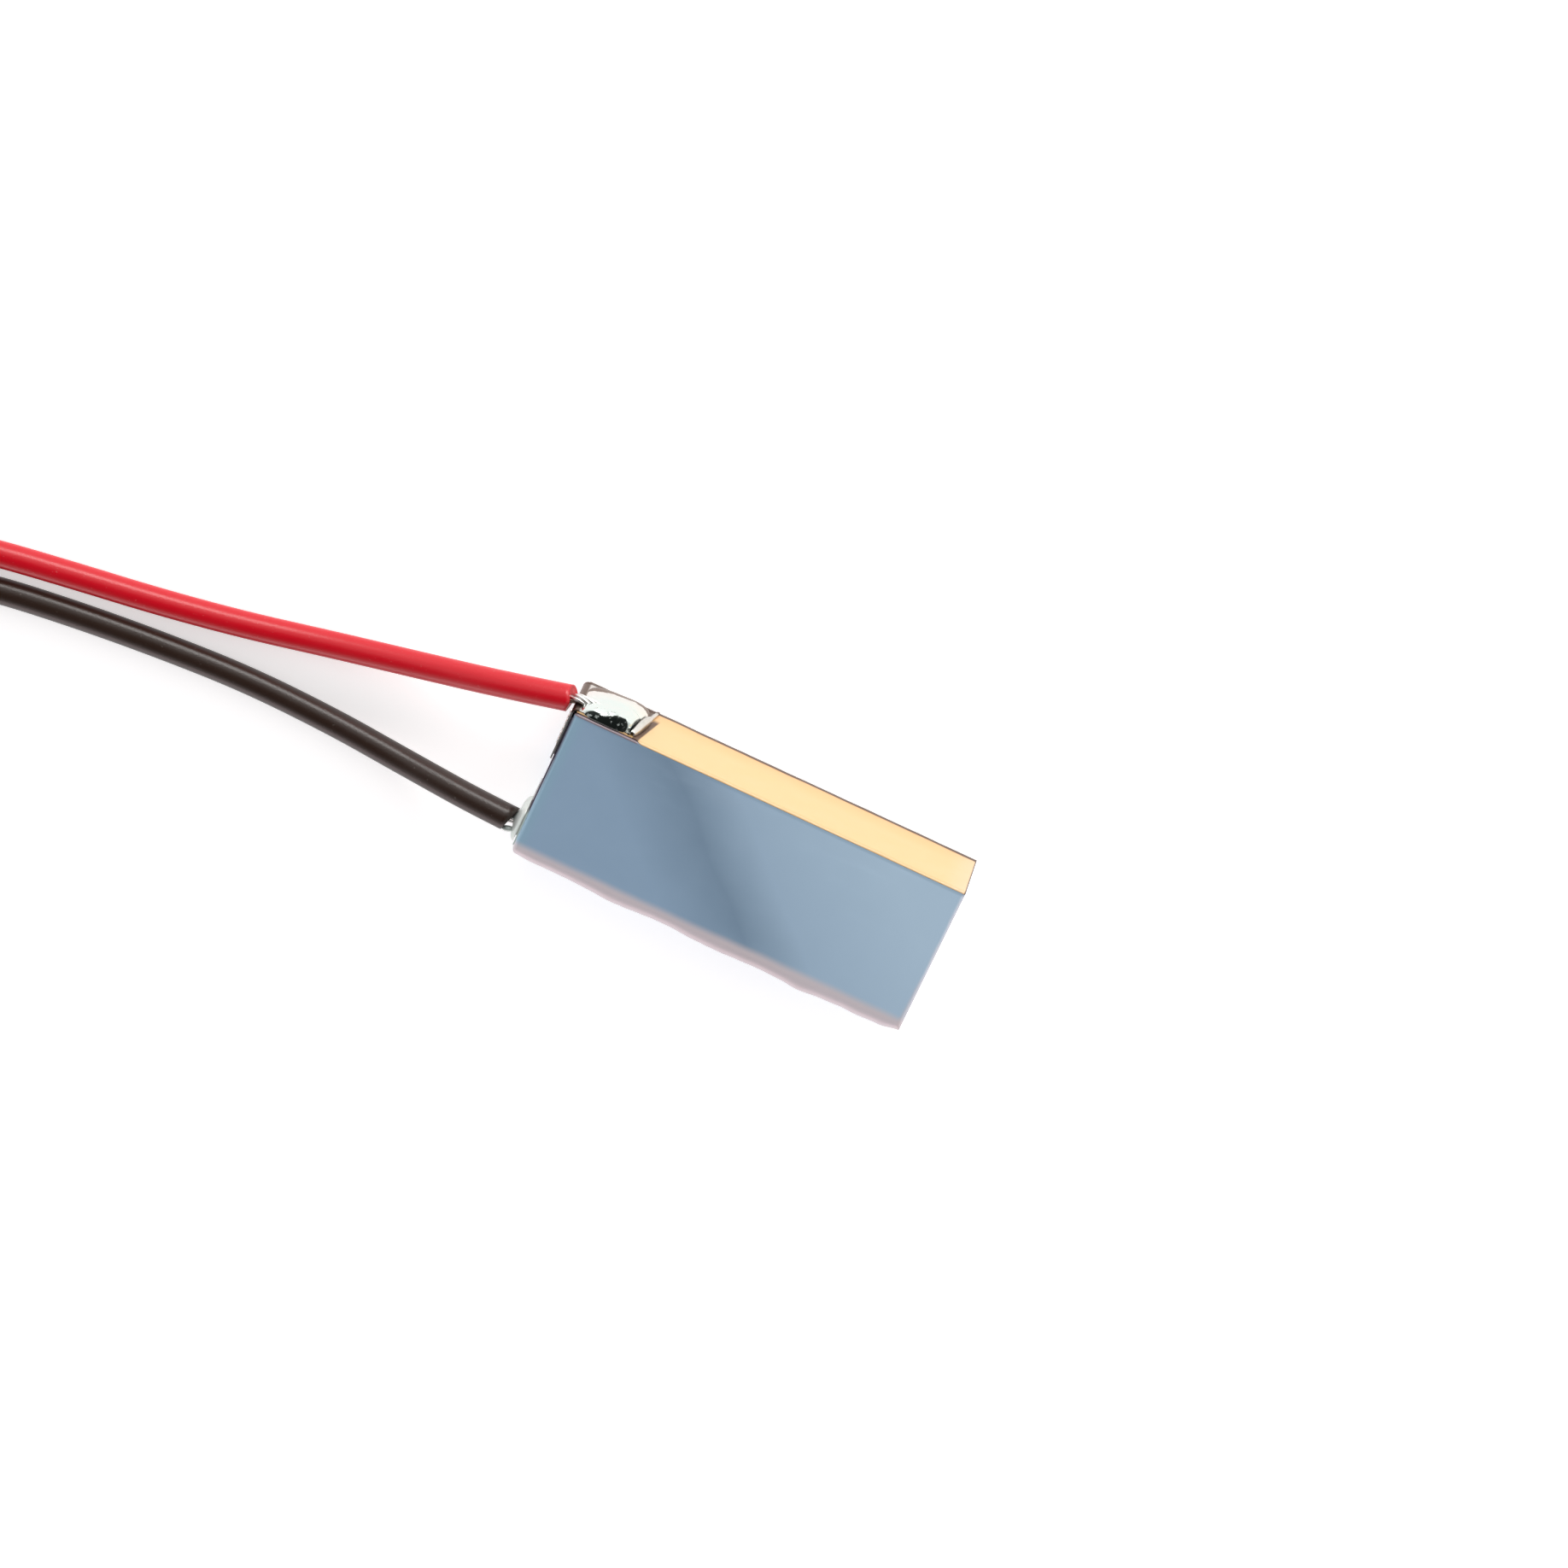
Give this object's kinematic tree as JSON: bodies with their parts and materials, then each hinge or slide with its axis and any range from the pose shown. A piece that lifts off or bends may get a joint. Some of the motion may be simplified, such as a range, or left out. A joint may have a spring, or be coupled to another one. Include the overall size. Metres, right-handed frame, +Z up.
{
  "type": "pouch battery cell",
  "caption": "Small sealed laminate pouch cell with folded seals, a taped long side and red and black leads soldered at one end.",
  "frame": {"origin": "middle of the cell's underside, the large face that it rests on", "axes": "+X along the cell's length and away from the leads, +Y towards the taped long side, +Z up through the thickness"},
  "size_m": [0.0689, 0.0136, 0.004],
  "materials": {
    "pouch_film": "semi-gloss laminate",
    "copper_foil": "satin",
    "graphite": "matt",
    "aluminium_foil": "satin",
    "cathode_oxide": "matt",
    "separator_film": "matt",
    "green_tape": "gloss",
    "aluminium_tab": "satin",
    "nickel": "rolled",
    "sealing_film": "translucent",
    "polyimide_tape": "satin",
    "end_insulation": "matt",
    "solder": "bright",
    "tinned_copper": "satin",
    "red_insulation": "gloss",
    "black_insulation": "gloss"
  },
  "bodies": {
    "root": {"pouch_cup": "pouch_film", "pouch_cover": "pouch_film", "anode_foils": "copper_foil", "anode_coatings": "graphite", "cathode_foils": "aluminium_foil", "cathode_coatings": "cathode_oxide", "separator": "separator_film", "stack_tape": "green_tape", "positive_weld_tape": "green_tape", "negative_weld_tape": "green_tape", "positive_tab": "aluminium_tab", "negative_tab": "nickel", "positive_tab_films": "sealing_film", "negative_tab_films": "sealing_film", "side_tape": "polyimide_tape", "end_tape": "end_insulation", "nickel_strip": "nickel", "positive_solder": "solder", "negative_solder": "solder", "red_conductor": "tinned_copper", "black_conductor": "tinned_copper", "red_lead": "red_insulation", "black_lead": "black_insulation", "red_tip": "tinned_copper", "black_tip": "tinned_copper"}
  },
  "joints": []
}
